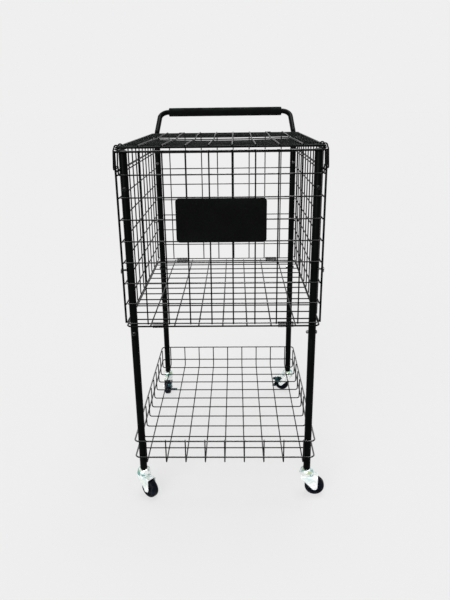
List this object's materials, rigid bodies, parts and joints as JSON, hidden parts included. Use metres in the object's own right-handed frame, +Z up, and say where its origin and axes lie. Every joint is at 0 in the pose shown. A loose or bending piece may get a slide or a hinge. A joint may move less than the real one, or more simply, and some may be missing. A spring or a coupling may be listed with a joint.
{
  "type": "tennis ball hopper cart",
  "caption": "Wheeled wire basket for tennis balls with a hinged wire lid, latch loops, a lower wire tray, a padded push handle and swivel casters.",
  "frame": {"origin": "on the floor under the middle of the cart's outline", "axes": "+Z up, -Y to the front with the sign plate, +Y to the push handle, +X to the right seen from the front"},
  "size_m": [0.4908, 0.6988, 0.957],
  "materials": {
    "black_coat": "semi-gloss black powder coat",
    "bolt_black": "black oxide",
    "grip_foam": "matt black foam sleeve",
    "sign_plastic": "smooth black moulded plastic",
    "zinc": "bright zinc plating",
    "wheel_tread": "black moulded rubber"
  },
  "bodies": {
    "cart_frame": {"front_panel": "black_coat", "rear_panel": "black_coat", "left_panel": "black_coat", "right_panel": "black_coat", "bottom_panel": "black_coat", "tray": "black_coat", "lid_hinge_strap_left": "black_coat", "lid_hinge_strap_right": "black_coat", "bottom_tie_front_left": "black_coat", "bottom_tie_front_right": "black_coat", "bottom_tie_rear_left": "black_coat", "bottom_tie_rear_right": "black_coat", "latch_hook_left": "black_coat", "latch_hook_right": "black_coat", "post_front_left": "black_coat", "post_front_right": "black_coat", "post_rear_left": "black_coat", "post_rear_right": "black_coat", "leg_front_left": "black_coat", "leg_front_right": "black_coat", "leg_rear_left": "black_coat", "leg_rear_right": "black_coat", "leg_bolt_front_left": "bolt_black", "leg_bolt_front_right": "bolt_black", "leg_bolt_rear_left": "bolt_black", "leg_bolt_rear_right": "bolt_black", "post_bolt_front_left": "bolt_black", "post_bolt_front_right": "bolt_black", "post_bolt_rear_left": "bolt_black", "post_bolt_rear_right": "bolt_black", "side_clamp_front_left": "bolt_black", "side_clamp_front_right": "bolt_black", "side_clamp_rear_left": "bolt_black", "side_clamp_rear_right": "bolt_black", "handle_tube": "black_coat", "handle_grip": "grip_foam", "sign_plate": "sign_plastic", "caster_stem_front_left": "zinc", "caster_stem_front_right": "zinc", "caster_stem_rear_left": "zinc", "caster_stem_rear_right": "zinc"},
    "lid": {"lid_panel": "black_coat"},
    "latch_left": {"latch_bail_left": "black_coat"},
    "latch_right": {"latch_bail_right": "black_coat"},
    "fork_front_left": {"caster_fork_front_left": "zinc", "caster_axle_front_left": "zinc"},
    "fork_front_right": {"caster_fork_front_right": "zinc", "caster_axle_front_right": "zinc"},
    "fork_rear_left": {"caster_fork_rear_left": "zinc", "caster_axle_rear_left": "zinc"},
    "fork_rear_right": {"caster_fork_rear_right": "zinc", "caster_axle_rear_right": "zinc"},
    "wheel_front_left": {"caster_wheel_front_left": "wheel_tread"},
    "wheel_front_right": {"caster_wheel_front_right": "wheel_tread"},
    "wheel_rear_left": {"caster_wheel_rear_left": "wheel_tread"},
    "wheel_rear_right": {"caster_wheel_rear_right": "wheel_tread"},
    "brake_rear_left": {"brake_lever_rear_left": "zinc"},
    "brake_rear_right": {"brake_lever_rear_right": "zinc"}
  },
  "joints": [
    {"name": "lid_hinge", "type": "hinge", "parent": "cart_frame", "child": "lid", "pos_m": [-0.01195, 0.24917, 0.88187], "axis": [-1, 0, 0], "range_deg": [0, 120]},
    {"name": "latch_left_swing", "type": "hinge", "parent": "lid", "child": "latch_left", "pos_m": [-0.23465, -0.29843, 0.88187], "axis": [0, 1, 0], "range_deg": [-3, 120]},
    {"name": "latch_right_swing", "type": "hinge", "parent": "lid", "child": "latch_right", "pos_m": [0.21075, -0.29843, 0.88187], "axis": [0, -1, 0], "range_deg": [-3, 120]},
    {"name": "swivel_front_left", "type": "hinge", "parent": "cart_frame", "child": "fork_front_left", "pos_m": [-0.22295, -0.31383, 0.0575], "axis": [0, 0, 1], "continuous": true},
    {"name": "swivel_front_right", "type": "hinge", "parent": "cart_frame", "child": "fork_front_right", "pos_m": [0.19905, -0.31383, 0.0575], "axis": [0, 0, 1], "continuous": true},
    {"name": "swivel_rear_left", "type": "hinge", "parent": "cart_frame", "child": "fork_rear_left", "pos_m": [-0.22295, 0.26017, 0.0575], "axis": [0, 0, 1], "continuous": true},
    {"name": "swivel_rear_right", "type": "hinge", "parent": "cart_frame", "child": "fork_rear_right", "pos_m": [0.19905, 0.26017, 0.0575], "axis": [0, 0, 1], "continuous": true},
    {"name": "roll_front_left", "type": "hinge", "parent": "fork_front_left", "child": "wheel_front_left", "pos_m": [-0.20734, -0.32788, 0.025], "axis": [0.6691, 0.7431, 0], "continuous": true},
    {"name": "roll_front_right", "type": "hinge", "parent": "fork_front_right", "child": "wheel_front_right", "pos_m": [0.21997, -0.31566, 0.025], "axis": [0.0872, 0.9962, 0], "continuous": true},
    {"name": "roll_rear_left", "type": "hinge", "parent": "fork_rear_left", "child": "wheel_rear_left", "pos_m": [-0.22295, 0.23917, 0.025], "axis": [1, 0, 0], "continuous": true},
    {"name": "roll_rear_right", "type": "hinge", "parent": "fork_rear_right", "child": "wheel_rear_right", "pos_m": [0.18002, 0.26904, 0.025], "axis": [-0.4226, -0.9063, 0], "continuous": true},
    {"name": "brake_rear_left_press", "type": "hinge", "parent": "fork_rear_left", "child": "brake_rear_left", "pos_m": [-0.22295, 0.23817, 0.046], "axis": [1, 0, 0], "range_deg": [0, 8]},
    {"name": "brake_rear_right_press", "type": "hinge", "parent": "fork_rear_right", "child": "brake_rear_right", "pos_m": [0.17911, 0.26947, 0.046], "axis": [-0.4226, -0.9063, 0], "range_deg": [0, 8]}
  ]
}
